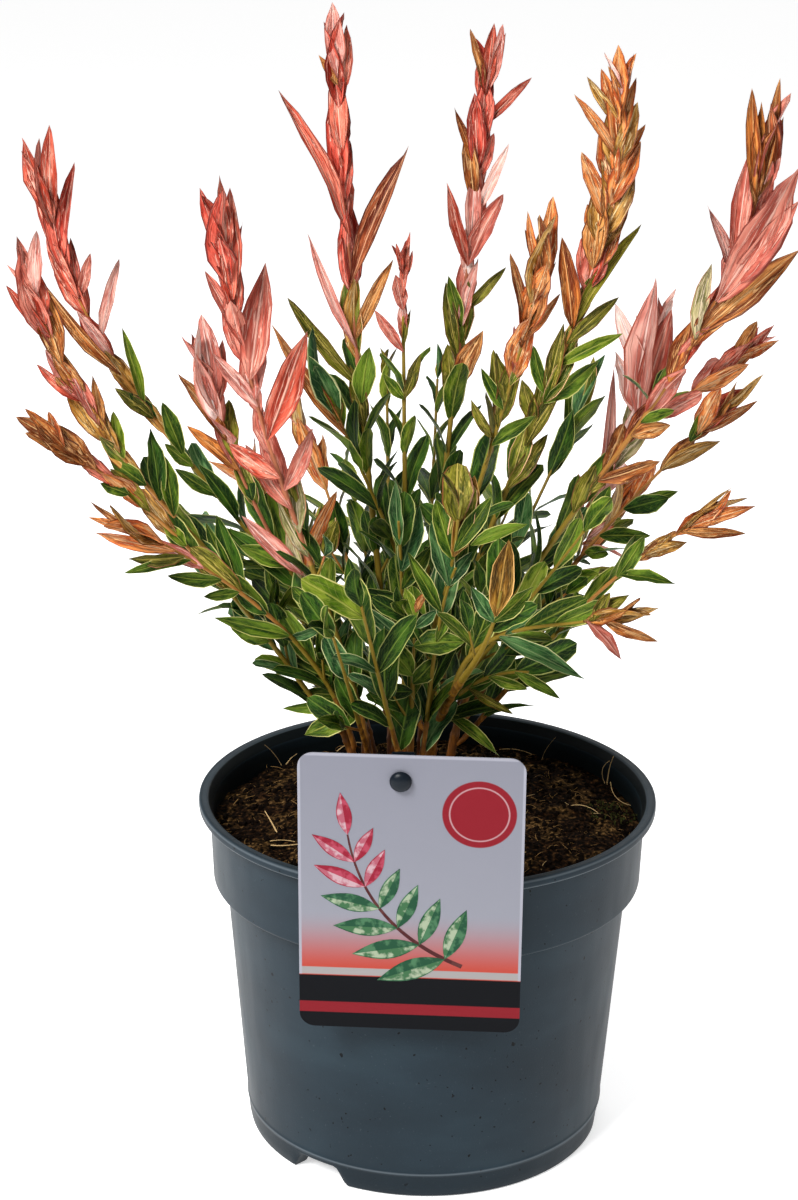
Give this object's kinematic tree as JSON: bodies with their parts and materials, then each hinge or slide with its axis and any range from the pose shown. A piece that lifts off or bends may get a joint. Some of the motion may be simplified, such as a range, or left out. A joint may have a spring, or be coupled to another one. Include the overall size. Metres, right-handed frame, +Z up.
{
  "type": "potted dappled willow shrub",
  "caption": "Young dappled willow with pink and orange shoot tips, in a round nursery pot with a plain hanging label card.",
  "frame": {"origin": "middle of the flat pad under the pot, on the surface that the pot stands on", "axes": "+Z up, -Y towards the side that the label card hangs on, +X to the right as seen from there"},
  "size_m": [0.3035, 0.2487, 0.4635],
  "materials": {
    "pot_plastic": "satin moulded",
    "peg_plastic": "satin",
    "card": "printed film",
    "compost": "crumbly peat",
    "bark": "smooth young bark",
    "leaf": "satin leaf"
  },
  "bodies": {
    "root": {"pot": "pot_plastic", "compost": "compost", "label_card": "card", "label_stake": "peg_plastic", "stem_back": "bark", "stem_back_left": "bark", "stem_centre": "bark", "stem_far_back": "bark", "stem_front": "bark", "stem_front_right": "bark", "stem_left": "bark", "stem_left_back": "bark", "stem_left_front": "bark", "stem_right": "bark", "stem_right_back": "bark", "stem_right_middle": "bark", "shoot_back": "leaf", "shoot_back_left": "leaf", "shoot_back_left_inner": "leaf", "shoot_back_left_low": "leaf", "shoot_back_right": "leaf", "shoot_back_right_low": "leaf", "shoot_back_upright": "leaf", "shoot_centre": "leaf", "shoot_centre_front": "leaf", "shoot_far_back": "leaf", "shoot_far_back_left": "leaf", "shoot_far_back_low": "leaf", "shoot_front": "leaf", "shoot_front_left": "leaf", "shoot_front_middle": "leaf", "shoot_front_right": "leaf", "shoot_front_right_long": "leaf", "shoot_front_right_low": "leaf", "shoot_left": "leaf", "shoot_left_back": "leaf", "shoot_left_front": "leaf", "shoot_left_front_low": "leaf", "shoot_left_inner": "leaf", "shoot_left_low": "leaf", "shoot_left_lowest": "leaf", "shoot_left_middle": "leaf", "shoot_left_skirt": "leaf", "shoot_right": "leaf", "shoot_right_back": "leaf", "shoot_right_back_low": "leaf", "shoot_right_back_pale": "leaf", "shoot_right_lowest": "leaf", "shoot_right_middle": "leaf", "shoot_right_middle_front": "leaf", "shoot_right_middle_inner": "leaf", "shoot_right_outer": "leaf"}
  },
  "joints": []
}
